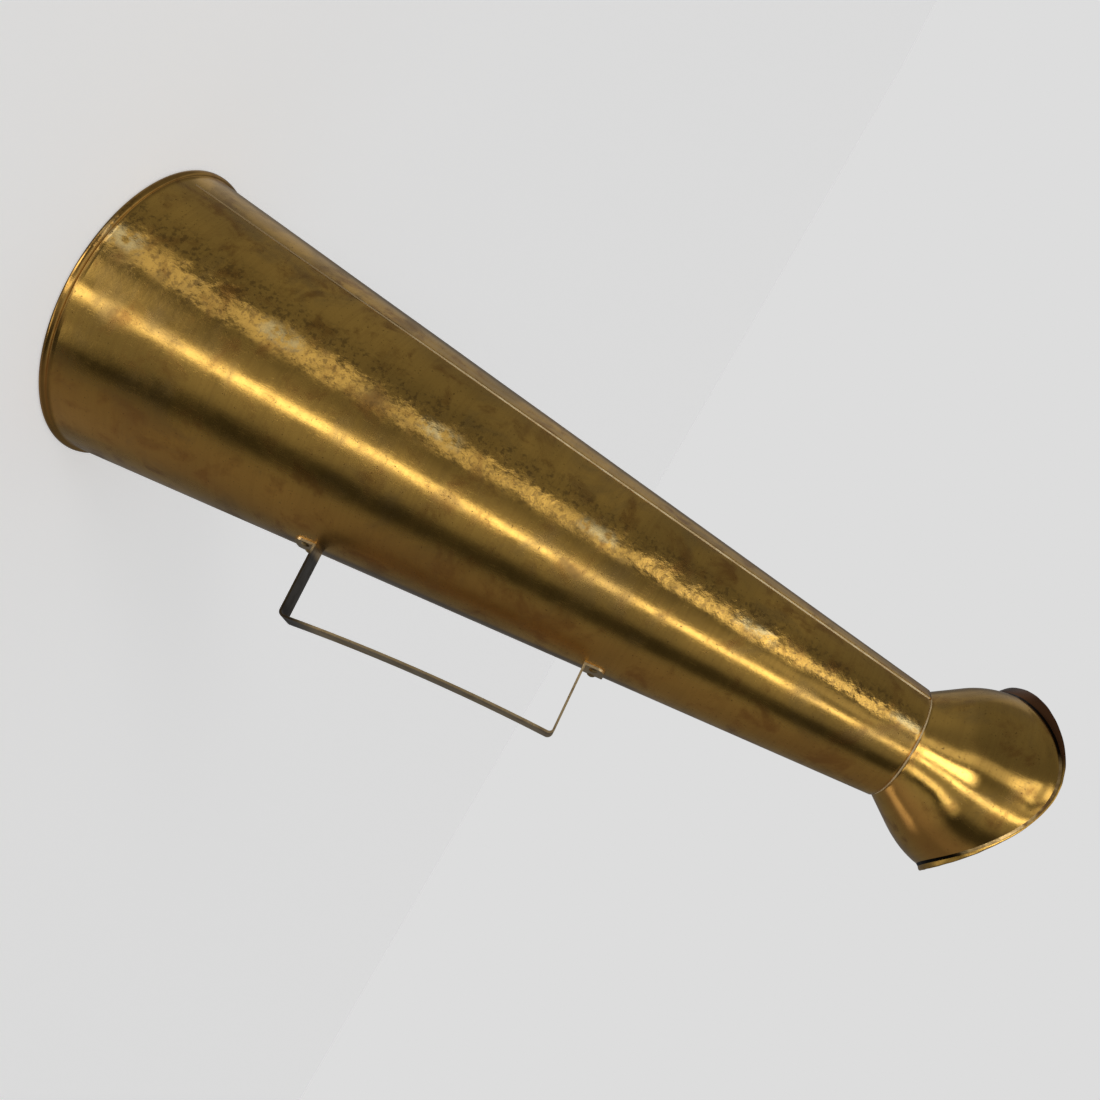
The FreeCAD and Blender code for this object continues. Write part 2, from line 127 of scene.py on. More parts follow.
BELLY_RADIUS = cup_high.y
SHOULDER_ARC = 34.0 * MM
BELLY_ARC = 100.0 * MM
CUP_START = 1.0 * MM
SHOULDER_RISE = 12.5 * MM
BELLY_RISE = 32.5 * MM
NECK_RADIUS = TIP_RADIUS - SHEET - 0.2 * MM
SADDLE_MEAN = 35.24 * MM
SADDLE_SWING = 9.98 * MM
SADDLE_TILT = -0.54 * MM
MOUTH_TWIST = math.radians(-7.45)
LIP_WIDTH = 2.18 * MM
LIP_THICKNESS = 0.9 * MM
LIP_EDGE = 0.55 * MM
NECK_SLOPE = 0.107
NECK_DEPTH = 4.0 * MM

# ---- Mesh steps: rows along each skin and columns round it.
HORN_OUTER_ROWS = 205
HORN_INNER_ROWS = 44
HORN_COLUMNS = 325
BEAD_STEPS = 23
CUP_STEPS = 90
CUP_COLUMNS = 420
LIP_COLUMNS = 480

# ---- The rippled band along the horn's -Y side: its middle, and where the ripples start to fade and end.
RIPPLE_ANGLE = math.radians(-96.0)
RIPPLE_FADE = (math.radians(9.0), math.radians(17.0))


def smooth(value, low, high):
    """0 below low, 1 above high, eased between."""
    t = min(max((value - low) / (high - low), 0.0), 1.0)
    return t * t * (3.0 - 2.0 * t)


def turned(angle, radius, height):
    """The point at an angle round the axis."""
    return Vector((radius * math.cos(angle), radius * math.sin(angle), height))


def angle_gap(a, b):
    """The angle from b to a, between minus and plus half a turn."""
    return (a - b + math.pi) % (2.0 * math.pi) - math.pi


# ---- Meshes -----------------------------------------------------------------------------------------

def grid_object(name, rows):
    """A closed mesh over rows of points. Both the rows and the columns run round to where they start."""
    width = len(rows[0])
    faces = []
    for i in range(len(rows)):
        here = i * width
        there = (i + 1) % len(rows) * width
        for j in range(width):
            k = (j + 1) % width
            faces.append((here + j, here + k, there + k, there + j))
    mesh = bpy.data.meshes.new(name)
    mesh.from_pydata([point for row in rows for point in row], [], faces)
    work = bmesh.new()
    work.from_mesh(mesh)
    bmesh.ops.recalc_face_normals(work, faces=work.faces)
    work.to_mesh(mesh)
    work.free()
    mesh.shade_smooth()
    piece = bpy.data.objects.new(name, mesh)
    bpy.context.scene.collection.objects.link(piece)
    return piece


def horn_radius(height):
    """The cone's outer radius at a height."""
    return BELL_RADIUS - TAPER * (height - BEAD_Z)


# Knocks the sheet has taken: angle in degrees, height and reach in millimetres, depth in millimetres.
DENTS = (
    (-97.0, 12.0, 6.0, 0.28), (-92.0, 26.0, 5.0, 0.14), (-101.0, 44.0, 7.0, 0.16),
    (-96.0, 74.0, 6.5, 0.34), (-90.0, 92.0, 5.0, 0.14), (-99.0, 112.0, 7.0, 0.18),
    (-95.0, 142.0, 6.0, 0.32), (-101.0, 165.0, 5.0, 0.16), (-93.0, 186.0, 6.0, 0.14),
    (-96.0, 212.0, 5.5, 0.30), (-102.0, 238.0, 5.0, 0.14), (-96.0, 268.0, 5.0, 0.26),
    (-92.0, 292.0, 4.0, 0.12), (-97.0, 321.0, 4.5, 0.22), (-60.0, 128.0, 9.0, 0.10),
    (-38.0, 60.0, 11.0, 0.16), (-50.0, 210.0, 8.0, 0.10), (-121.0, 190.0, 9.0, 0.12),
    (35.0, 150.0, 10.0, 0.20), (62.0, 60.0, 12.0, 0.25), (95.0, 230.0, 8.0, 0.18),
    (128.0, 110.0, 11.0, 0.24), (160.0, 40.0, 9.0, 0.2), (176.0, 250.0, 7.0, 0.16),
)


def horn_wear(angle, height):
    """How far the horn's sheet stands out of round at a place, in metres. Dents are negative.
    It stays round at the bead, at the tip and under the handle's feet."""
    radius = horn_radius(height)
    at = turned(angle, radius, height)
    away = 0.05 * noise.noise(at * 22.0) + 0.006 * noise.noise(at * 75.0 + Vector((3.1, 0.4, 1.7)))
    busy = 1.0 - smooth(abs(angle_gap(angle, RIPPLE_ANGLE)), *RIPPLE_FADE)
    if busy > 0.0:
        away += busy * (0.05 * noise.noise(at * 120.0) + 0.010 * noise.noise(at * 260.0))
    for dent_angle, dent_height, reach, depth in DENTS:
        rise = height / MM - dent_height
        if abs(rise) > 3.0 * reach:
            continue
        across = angle_gap(angle, math.radians(dent_angle)) * radius / MM
        away -= depth * math.exp(-(rise * rise + across * across) / (reach * reach))
    free = smooth(height, BEAD_Z + 2.0 * MM, BEAD_Z + 9.0 * MM)
    free = free * (1.0 - smooth(height, TIP_Z - 7.0 * MM, TIP_Z))
    free *= smooth(abs(angle_gap(angle, 0.0)), math.radians(13.0), math.radians(28.0))
    return away * MM * free


# Columns across the lap, in millimetres from its edge, and the edge's rounded outline as place and share of
# the step.
LAP_COLUMNS = (
    -6.0, -5.0, -4.2, -3.4, -2.6, -1.8, -1.1, -0.6, -0.36, -0.24, -0.14, -0.06, 0.0, 0.3, 0.7, 1.4, 2.6, 4.2,
)
LAP_EDGE = ((-0.36, 1.0), (-0.24, 0.71), (-0.14, 0.40), (-0.06, 0.10), (0.0, 0.0))


def horn_angles(height, count):
    """Angles round the horn, close together where the sheet laps."""
    radius = horn_radius(height)
    angles = [LAP_ANGLE + across * MM / radius for across in LAP_COLUMNS]
    start = LAP_ANGLE + 6.0 * MM / radius
    sweep = 2.0 * math.pi - 12.0 * MM / radius
    angles += [start + sweep * i / count for i in range(count)]
    return angles


def lap_lift(angle, height):
    """The overlap's lift off the cone: it rises over the lap's width and drops at once."""
    across = angle_gap(angle, LAP_ANGLE) * horn_radius(height) / MM
    if across > -0.001 or across < -LAP_WIDTH / MM:
        return 0.0
    ready = smooth(height, 45.0 * MM, 135.0 * MM)
    if across < LAP_EDGE[0][0]:
        return LAP_STEP * ready * (1.0 + across * MM / LAP_WIDTH)
    for (start, high), (end, low) in zip(LAP_EDGE, LAP_EDGE[1:]):
        if across <= end:
            break
    share = (across - start) / (end - start)
    return LAP_STEP * ready * (high + share * (low - high))


def make_horn():
    """The horn as one skin: outside, rolled bell edge, inside and cut tip."""
    profile = []
    outer_foot = BEAD_Z + BEAD_RADIUS * 0.99
    for i in range(HORN_OUTER_ROWS + 1):
        height = TIP_Z - EDGE - (TIP_Z - EDGE - outer_foot) * i / HORN_OUTER_ROWS
        profile.append((horn_radius(height), height, True))
    for i in range(1, BEAD_STEPS):
        turn = math.radians(96.0 - 338.0 * i / BEAD_STEPS)
        height = max(BEAD_Z + BEAD_RADIUS * math.sin(turn), 0.0)
        profile.append((BELL_RADIUS + BEAD_RADIUS * math.cos(turn), height, False))
    for i in range(HORN_INNER_ROWS + 1):
        height = outer_foot + (TIP_Z - EDGE - outer_foot) * i / HORN_INNER_ROWS
        profile.append((horn_radius(height) - SHEET, height, True))
    profile.append((TIP_RADIUS - SHEET + EDGE, TIP_Z, False))
    profile.append((TIP_RADIUS - EDGE, TIP_Z, False))
    rows = []
    for index, (radius, height, brown_below) in enumerate(profile):
        outside = index <= HORN_OUTER_ROWS
        row = []
        for angle in horn_angles(height, HORN_COLUMNS):
            reach = radius
            if brown_below:
                reach += horn_wear(angle, height)
            if outside:
                reach += lap_lift(angle, height)
            row.append(turned(angle, reach, height))
        rows.append(row)
    return grid_object("horn_shell", rows)


def mouth_wave(angle, turns):
    """A wave round the mouth with that many crests, the first near the +X side."""
    return math.cos(turns * (angle - MOUTH_TWIST))


def rim_rise(angle):
    """The saddle: how high the cup's rim stands above the horn's tip."""
    return SADDLE_MEAN - SADDLE_SWING * mouth_wave(angle, 2) - SADDLE_TILT * mouth_wave(angle, 1)


def cup_radius(rise):
    """The cup's outer radius at a rise above the horn's tip."""
    if rise <= CUP_START:
        return NECK_RADIUS + NECK_SLOPE * (CUP_START - rise)
    if rise < SHOULDER_RISE:
        share = (rise - CUP_START) / (SHOULDER_RISE - CUP_START)
        return NECK_RADIUS + share * (cup_radius(SHOULDER_RISE) - NECK_RADIUS)
    arc = SHOULDER_ARC if rise < BELLY_RISE else BELLY_ARC
    return BELLY_RADIUS - arc + math.sqrt(arc ** 2 - (rise - BELLY_RISE) ** 2)


# The cup's knocks, as the horn's, with heights above the horn's tip.
CUP_DENTS = (
    (-110.0, 29.0, 15.0, 1.8), (-40.0, 12.0, 8.0, 0.45), (-120.0, 14.0, 6.0, 0.15), (-86.0, 39.0, 4.0, 0.25),
    (20.0, 14.0, 8.0, 0.35), (80.0, 25.0, 11.0, 0.55), (150.0, 15.0, 8.0, 0.30), (-150.0, 25.0, 9.0, 0.15),
)


def cup_wear(angle, rise, top):
    """How far the cup's wall stands out of round, in metres. It stays round at the neck and the rim."""
    at = turned(angle, cup_radius(rise), rise)
    away = 0.07 * noise.noise(at * 40.0 + Vector((7.0, 1.0, 2.0))) + 0.02 * noise.noise(at * 120.0)
    for dent_angle, dent_rise, reach, depth in CUP_DENTS:
        up = rise / MM - dent_rise
        across = angle_gap(angle, math.radians(dent_angle)) * BELLY_RADIUS / MM
        away -= depth * math.exp(-(up * up + across * across) / (reach * reach))
    return away * MM * smooth(rise, 2.0 * MM, 6.0 * MM) * (1.0 - smooth(rise, top - 5.0 * MM, top - MM))


def make_cup():
    """The mouthpiece as one skin, outside up and inside down, its mouth cut to the saddle."""
    rows = []
    for inside in (False, True):
        for i in range(CUP_STEPS + 1):
            share = 1.0 - i / CUP_STEPS if inside else i / CUP_STEPS
            row = []
            for j in range(CUP_COLUMNS):
                angle = 2.0 * math.pi * j / CUP_COLUMNS
                top = rim_rise(angle)
                rise = (top + NECK_DEPTH) * share - NECK_DEPTH
                radius = cup_radius(rise) + cup_wear(angle, rise, top)
                row.append(turned(angle, radius - (CUP_WALL if inside else 0.0), TIP_Z + rise))
            rows.append(row)
    return grid_object("mouthpiece_shell", rows)


def lip_reach(angle):
    """The lip's width, widest on the -X side and narrowest at the cheeks, a little ragged."""
    ragged = 0.12 * MM * (noise.noise(turned(angle, 9.0, 0.5)) - 0.6)
    return LIP_WIDTH * (1.0 + 0.51 * mouth_wave(angle, 2) - 0.66 * mouth_wave(angle, 1)) + ragged


def make_lip():
    """The thin lip soldered round the saddle, leaning forward, its edges worn round."""
    rows = []
    for j in range(LIP_COLUMNS):
        angle = 2.0 * math.pi * j / LIP_COLUMNS
        rise = TIP_Z + rim_rise(angle)
        rim = cup_radius(rim_rise(angle))
        reach = lip_reach(angle)
        slope = 0.715 + 0.165 * mouth_wave(angle, 2)
        outer = rim + reach
        lift = rise + slope * reach
        section = [
            (rim - CUP_WALL, rise), (rim - CUP_WALL, rise + 0.5 * LIP_THICKNESS),
            (rim - 0.75 * CUP_WALL, rise + 0.9 * LIP_THICKNESS),
            (rim - 0.3 * CUP_WALL, rise + LIP_THICKNESS),
            (rim + 0.3 * reach, rise + LIP_THICKNESS + 0.24 * slope * reach),
            (outer - EDGE, lift + LIP_EDGE - slope * EDGE), (outer, lift + 0.65 * LIP_EDGE),
            (outer, lift + 0.3 * LIP_EDGE), (outer - EDGE, lift - slope * EDGE),
            (rim + 0.4 * reach, rise + 0.4 * slope * reach), (rim + 0.02 * MM, rise),
        ]
        rows.append([turned(angle, radius, height) for radius, height in section])
    return grid_object("face_lip", rows)


# ---- Materials --------------------------------------------------------------------------------------

class Graph:
    """A node tree whose nodes are added by short calls. An input is a number, a tuple or a node's output."""

    def __init__(self, tree):
        self.tree = tree
        self.tree.nodes.clear()

    def add(self, kind, inputs=None, **settings):
        node = self.tree.nodes.new(kind)
        for key, value in settings.items():
            setattr(node, key, value)
        for key, value in (inputs or {}).items():
            self.put(node.inputs[key], value)
        return node

    def put(self, socket, value):
        if isinstance(value, bpy.types.NodeSocket):
            self.tree.links.new(value, socket)
        elif isinstance(value, tuple) and len(value) == 3 and socket.type == "RGBA":
            socket.default_value = (*value, 1.0)
        else:
            socket.default_value = value

    def math(self, operation, *values):
        node = self.add("ShaderNodeMath", operation=operation)
        for socket, value in zip(node.inputs, values):
            self.put(socket, value)
        return node.outputs[0]

    def vector(self, operation, *values):
        node = self.add("ShaderNodeVectorMath", operation=operation)
        for socket, value in zip(node.inputs, values):
            self.put(socket, value)
        return node.outputs["Value" if operation == "DOT_PRODUCT" else "Vector"]

    def spread(self, value, low, high, to_low=0.0, to_high=1.0):
        """value eased from low..high to to_low..to_high, and held outside."""
        node = self.add("ShaderNodeMapRange", interpolation_type="SMOOTHSTEP")
        for socket, item in zip(node.inputs, (value, low, high, to_low, to_high)):
            self.put(socket, item)
        return node.outputs["Result"]

    def blend(self, factor, first, second):
        node = self.add("ShaderNodeMix", data_type="RGBA")
        sockets = [socket for socket in node.inputs if socket.type == "RGBA"]
        self.put(node.inputs[0], factor)
        self.put(sockets[0], first)
        self.put(sockets[1], second)
        return next(socket for socket in node.outputs if socket.type == "RGBA")

    def noise(self, where, scale, detail=4.0, roughness=0.55, distortion=0.0):
        node = self.add("ShaderNodeTexNoise", {"Vector": where, "Scale": scale, "Detail": detail,
                                               "Roughness": roughness, "Distortion": distortion})
        return node.outputs["Fac"]

    def stretched(self, where, turn, squeeze):
        """Coordinates turned by angles in degrees and then scaled along each axis."""
        turn = tuple(math.radians(a) for a in turn)
        node = self.add("ShaderNodeMapping", {"Vector": where, "Rotation": turn, "Scale": squeeze})
        return node.outputs["Vector"]

    def bump(self, height, distance, strength=1.0, normal=None):
        node = self.add("ShaderNodeBump", {"Height": height, "Distance": distance, "Strength": strength})
        if normal is not None:
            self.put(node.inputs["Normal"], normal)
        return node.outputs["Normal"]


def surface(name):
    """A new material and its graph."""
    material = bpy.data.materials.new(name)
    material.use_nodes = True
    return material, Graph(material.node_tree)


def close_surface(graph, inputs):
    shader = graph.add("ShaderNodeBsdfPrincipled", inputs)
    output = graph.add("ShaderNodeOutputMaterial")
    graph.put(output.inputs["Surface"], shader.outputs[0])


def scratches(g, place):
    """Fine hairlines in three directions, 1 on a line and 0 between."""
    total = 0.0
    for turn in ((0.0, 0.0, 12.0), (25.0, 10.0, 70.0), (-40.0, 15.0, -35.0)):
        lines = g.noise(g.stretched(place, turn, (1400.0, 1400.0, 26.0)), 1.0, 2.0)
        total = g.math("ADD", total, g.spread(lines, 0.64, 0.72))
    return g.math("MINIMUM", total, 1.0)


# Places that the brass treats in its own way: angles round the axis in radians, and heights in metres.
SHINE_ANGLE = math.radians(-97.0)
SHINE_FADE = (math.radians(8.0), math.radians(17.0))
# Painted highlights: pale glints at an even pitch up the rippled band, as their angle, first height and
# pitch.
PAINTED_GLINT_ANGLE = math.radians(-93.5)
PAINTED_GLINT_START = 0.007
PAINTED_GLINT_PITCH = 0.066
# A painted warm reflection: its angle beside the handle and how it fades round the axis.
WARM_REFLECTION_ANGLE = math.radians(-28.0)
WARM_REFLECTION_FADE = (0.10, 0.42)
# The handle's painted shadow on the horn: how far it reaches round from the handle, and its heights.
HANDLE_SHADOW_FADE = (0.03, 0.14)
HANDLE_SHADOW_SPAN = ((0.085, 0.105), (0.225, 0.260))
NICK_FADE = (0.004, 0.024)
NICK_SPAN = ((0.035, 0.055), (0.09, 0.115))
# Heights below which the bell's rolled edge turns browner.
RIM_BROWN_SPAN = (0.0030, 0.0042)
# The range of X over which the painted shade on the strap's leg comes in.
STRAP_LEG_SHADE_REACH = (0.0495, 0.0530)
UNTURNED = (0.0, 0.0, 0.0)

# What lies on the brass, and the light and shade painted on it, as colours.
SMOKE = (0.42, 0.27, 0.10)
SPECK = (0.20, 0.10, 0.03)
# The dark brown of the painted shade on the lip.
LIP_SHADE = (0.16, 0.07, 0.03)
# Near black, for the painted shade on the strap's leg.
STRAP_LEG_SHADE = (0.02, 0.014, 0.01)
PIT = (0.26, 0.15, 0.05)
# The pale gold of a painted highlight.
PAINTED_GLINT = (1.0, 0.78, 0.36)
# The colour of the handle's painted shadow.
HANDLE_SHADOW = (0.14, 0.085, 0.04)
# The red of the painted warm reflection.
WARM_REFLECTION = (0.88, 0.40, 0.10)
RIM_BROWN = (0.34, 0.17, 0.05)
NICK = (0.03, 0.02, 0.012)


def beside(g, around, angle, fade):
    """1 at an angle round the axis, fading to 0 over a range of distances from it."""
    return g.spread(g.math("ABSOLUTE", g.math("SUBTRACT", around, angle)), *fade, 1.0, 0.0)


def within(g, height, span):
    """1 between two heights, easing in over the first range and out over the second."""
    rising, falling = span
    return g.math("MULTIPLY", g.spread(height, *rising), g.spread(height, *falling, 1.0, 0.0))


def aged_brass(name, gold, olive, brown, polish, dull, busy=0.0, seam=False, shaded_lip_side=None,
               shaded_leg=None, reflection_warmth=0.0):
    """Old sheet brass: golden where rubbed, olive and brown where dulled, speckled and scratched.
    busy is how strongly the horn's -Y side is rippled, and brings the painted highlights along the ripples
    and the painted shadow of the handle between its legs. seam adds the nicks along the lap and browns the
    foot of the bell's rolled edge. shaded_lip_side is a range of X over which painted shade darkens the lip,
    shaded_leg the heights over which the painted shade that blackens the strap's leg fades,
    reflection_warmth the strength of a painted warm reflection beside the handle."""
    material, g = surface(name)
    place = g.add("ShaderNodeTexCoord").outputs["Object"]
    parts = g.add("ShaderNodeSeparateXYZ", {"Vector": place})
    out, height = parts.outputs["X"], parts.outputs["Z"]
    around = g.math("ARCTAN2", parts.outputs["Y"], out)
    clouds = g.noise(place, 15.0, 3.0)
    stains = g.noise(place, 75.0, 6.0, 0.62, 0.4)
    specks = g.noise(place, 1100.0, 2.0, 0.6)
    lines = scratches(g, place)
    brushed = g.noise(g.stretched(place, UNTURNED, (26.0, 26.0, 800.0)), 1.0, 3.0)
    colour = g.blend(g.spread(clouds, 0.38, 0.62), gold, olive)
    colour = g.blend(g.spread(brushed, 0.42, 0.66, 0.0, 0.13), colour, brown)
    colour = g.blend(g.math("MULTIPLY", g.spread(stains, 0.50, 0.70), 0.75), colour, brown)
    smoke = g.noise(place, 38.0, 5.0, 0.6, 0.8)
    colour = g.blend(g.spread(smoke, 0.48, 0.70, 0.0, 0.55), colour, SMOKE)
    colour = g.blend(g.math("MULTIPLY", g.spread(specks, 0.64, 0.74), 0.75), colour, SPECK)
    rough = g.spread(stains, 0.36, 0.74, polish, dull)
    rough = g.math("ADD", rough, g.spread(smoke, 0.48, 0.70, 0.0, 0.08))
    rough = g.math("ADD", rough, g.spread(specks, 0.60, 0.78, 0.0, 0.16))
    rough = g.math("ADD", rough, g.math("MULTIPLY", lines, 0.05))
    # Painted shade: the lip darkened over its -X side, where its back lies in shadow.
    if shaded_lip_side:
        colour = g.blend(g.spread(out, *shaded_lip_side), colour, LIP_SHADE)
    # Painted shade: the strap's leg nearer the bell darkened to near black below a height, away from the
    # horn.
    if shaded_leg:
        leg_shade = g.math("MULTIPLY", g.spread(height, *shaded_leg, 0.93, 0.0), g.spread(out, *STRAP_LEG_SHADE_REACH))
        colour = g.blend(leg_shade, colour, STRAP_LEG_SHADE)
    normal = g.bump(g.noise(place, 260.0, 3.0), 0.00012, 0.14)
    normal = g.bump(g.math("MULTIPLY", lines, -1.0), 0.00001, 0.25, normal)
    normal = g.bump(specks, 0.00004, 0.20, normal)
    # The band of the painted warm reflection beside the handle. On the horn it also roughens the brass.
    warm_reflection = beside(g, around, WARM_REFLECTION_ANGLE, WARM_REFLECTION_FADE)
    if busy:
        side = beside(g, around, SHINE_ANGLE, SHINE_FADE)
        patches = g.spread(g.noise(place, 34.0, 2.0), 0.36, 0.60, 0.25, 1.0)
        amount = g.math("MULTIPLY", g.math("MULTIPLY", side, patches), busy)
        coarse = g.noise(place, 88.0, 2.0, 0.5)
        normal = g.bump(coarse, 0.0014, g.math("MULTIPLY", amount, 0.65), normal)
        fine = g.noise(place, 430.0, 3.0, 0.6)
        normal = g.bump(fine, 0.0003, g.math("MULTIPLY", amount, 0.5), normal)
        pits = g.spread(g.noise(place, 520.0, 3.0, 0.6), 0.50, 0.64)
        grain = g.math("MULTIPLY", g.math("MULTIPLY", side, pits), 0.55)
        colour = g.blend(grain, colour, PIT)
        # Painted highlights: pale glints at an even pitch up the rippled band, broken up by noise.
        turns = g.math("MULTIPLY", g.math("SUBTRACT", height, PAINTED_GLINT_START), 2.0 * math.pi / PAINTED_GLINT_PITCH)
        glint_mask = g.spread(g.math("COSINE", turns), 0.55, 0.97)
        glint_mask = g.math("MULTIPLY", glint_mask, beside(g, around, PAINTED_GLINT_ANGLE, (0.02, 0.10)))
        glint_mask = g.math("MULTIPLY", glint_mask, g.spread(g.noise(place, 260.0, 3.0, 0.6), 0.36, 0.56))
        colour = g.blend(g.math("MULTIPLY", glint_mask, 0.7), colour, PAINTED_GLINT)
        # Painted shadow: the horn darkened between the handle's legs.
        handle_shadow = g.math("MULTIPLY", beside(g, around, 0.0, HANDLE_SHADOW_FADE), within(g, height, HANDLE_SHADOW_SPAN))
        colour = g.blend(g.math("MULTIPLY", handle_shadow, 0.75), colour, HANDLE_SHADOW)
        rough = g.math("ADD", rough, g.math("MULTIPLY", warm_reflection, 0.22))
    # Painted warm reflection: the colour reddened in that band.
    if reflection_warmth:
        colour = g.blend(g.math("MULTIPLY", warm_reflection, reflection_warmth), colour, WARM_REFLECTION)
    if seam:
        # The bell's rolled edge browned towards its foot.
        rim = g.spread(height, *RIM_BROWN_SPAN, 0.55, 0.0)
        colour = g.blend(rim, colour, RIM_BROWN)
        nicks = g.noise(g.stretched(place, UNTURNED, (420.0, 420.0, 130.0)), 1.0, 3.0)
        nicks = g.spread(nicks, 0.44, 0.54)
        along = g.math("MULTIPLY", beside(g, around, LAP_ANGLE, NICK_FADE), within(g, height, NICK_SPAN))
        dirt_and_shade = g.math("MULTIPLY", along, nicks)
        colour = g.blend(dirt_and_shade, colour, NICK)
        rough = g.math("ADD", rough, g.math("MULTIPLY", dirt_and_shade, 0.4))
    close_surface(g, {"Base Color": colour, "Metallic": 1.0, "Roughness": rough, "Normal": normal})
    return material


# The solder's brown, the black of the painted shade in the lip's joint, and the ranges of X where that shade
# is painted.
BROWN_SOLDER = (0.36, 0.24, 0.10)
CREVICE_SHADE = (0.012, 0.008, 0.005)
PLUS_X_CREVICE_SHADE = (0.0270, 0.0320)
MINUS_X_CREVICE_SHADE = (-0.0170, -0.0110)


def soft_solder(name, bright, dark, shaded_crevice=False, metallic=1.0, brown_below=None):
    """Dull lumpy solder, browned with the brass round it. shaded_crevice paints black shade into it at both
    ends of X, where the joint lies in shadow, and brown_below is a range of height below which it is brown."""
    material, g = surface(name)
    place = g.add("ShaderNodeTexCoord").outputs["Object"]
    lumps = g.noise(place, 260.0, 4.0)
    grime = g.noise(place, 60.0, 4.0)
    colour = g.blend(g.spread(lumps, 0.4, 0.65), bright, dark)
    colour = g.blend(g.spread(grime, 0.5, 0.7), colour, dark)
    # Brown below a height, where the painted highlight along the lap ends towards the bell.
    if brown_below:
        height = g.add("ShaderNodeSeparateXYZ", {"Vector": place}).outputs["Z"]
        colour = g.blend(g.spread(height, *brown_below, 1.0, 0.0), colour, BROWN_SOLDER)
    # Painted shade: the lip's joint blackened at both ends of X, where it lies in shadow.
    if shaded_crevice:
        across = g.add("ShaderNodeSeparateXYZ", {"Vector": place}).outputs["X"]
        dirt_and_shade = g.math("ADD", g.spread(across, *PLUS_X_CREVICE_SHADE), g.spread(across, *MINUS_X_CREVICE_SHADE, 1.0, 0.0))
        colour = g.blend(dirt_and_shade, colour, CREVICE_SHADE)
    normal = g.bump(lumps, 0.0005, 0.5)
    rough = g.spread(lumps, 0.3, 0.7, 0.28, 0.5)
    close_surface(g, {"Base Color": colour, "Metallic": metallic, "Roughness": rough, "Normal": normal})
    return material


def dress(material, *names):
    """Put a material on CAD nodes, leaving their meshes as they are."""
    for name in names:
        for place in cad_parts[name].material_slots:
            place.link = "OBJECT"
            place.material = material


def stand_for(piece, node, material):
    """Show a piece in place of a CAD node."""
    piece.data.materials.append(material)
    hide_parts(node)
    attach(piece, "root")


# ---- Studio -----------------------------------------------------------------------------------------

def studio_world():
    """The room's light; the camera itself sees a plain pale backdrop."""
    world = bpy.data.worlds.new("studio")
    world.use_nodes = True
    bpy.context.scene.world = world
    g = Graph(world.node_tree)
    direction = g.add("ShaderNodeTexCoord").outputs["Generated"]
    level = g.vector("NORMALIZE", g.vector("MULTIPLY", direction, (1.0, 1.0, 0.0)))
    rise = g.vector("DOT_PRODUCT", direction, (0.0, 0.0, 1.0))
    total = ROOM_LEVEL
    for name, azimuth, half, soft, strength in STRIPS:
        towards = turned(math.radians(azimuth), 1.0, 0.0)
        along = g.vector("DOT_PRODUCT", level, tuple(towards))
        outer = math.cos(math.radians(half + soft))
        inner = math.cos(math.radians(max(half - soft, 0.0)))
        edge = g.spread(along, outer, inner)
        if name in GROWING:
            sign, start, end, first, last = GROWING[name]
            growth = g.spread(g.math("MULTIPLY", rise, sign), start, end, first, last)
            edge = g.math("MULTIPLY", edge, growth)
        total = g.math("ADD", total, g.math("MULTIPLY", edge, strength))
    away = g.spread(g.math("ABSOLUTE", rise), *POLE_FADE)
    lit = g.math("MULTIPLY", g.math("MULTIPLY", total, away), g.spread(rise, *UNDERSIDE_GAIN))
    lit = g.math("ADD", lit, g.math("MULTIPLY", g.spread(rise, *OVERHEAD_RISE), OVERHEAD))
    seen = g.add("ShaderNodeLightPath").outputs["Is Camera Ray"]
    strength = g.add("ShaderNodeMix", {"Factor": seen, "A": lit, "B": BACKDROP}, data_type="FLOAT")
    brightness = strength.outputs["Result"]
    background = g.add("ShaderNodeBackground", {"Color": (1.0, 1.0, 1.0), "Strength": brightness})
    output = g.add("ShaderNodeOutputWorld")
    g.put(output.inputs["Surface"], background.outputs[0])


def lay_floor():
    """A wide sheet of pale paper, glowing softly, that mirrors nothing into the brass."""
    mesh = bpy.data.meshes.new("floor")
    corners = [(x * FLOOR_REACH, y * FLOOR_REACH, 0.0) for x, y in ((-1, -1), (1, -1), (1, 1), (-1, 1))]
    mesh.from_pydata(corners, [], [(0, 1, 2, 3)])
    floor = bpy.data.objects.new("floor", mesh)
    bpy.context.scene.collection.objects.link(floor)
    floor.location.z = CAD_BOX[0].z - FLOOR_GAP
    floor.visible_glossy = False
    material, g = surface("floor_paper")
    grain = g.noise(g.add("ShaderNodeTexCoord").outputs["Object"], 300.0, 3.0)
    tone = g.blend(grain, (0.78, 0.78, 0.78), (0.82, 0.82, 0.82))
    glow = g.add("ShaderNodeEmission", {"Color": (1.0, 1.0, 1.0), "Strength": BACKDROP * FLOOR_GLOW})
    paper = g.add("ShaderNodeBsdfDiffuse", {"Color": tone})
    both = g.add("ShaderNodeAddShader")
    g.put(both.inputs[0], glow.outputs[0])
    g.put(both.inputs[1], paper.outputs[0])
    output = g.add("ShaderNodeOutputMaterial")
    g.put(output.inputs["Surface"], both.outputs[0])
    mesh.materials.append(material)


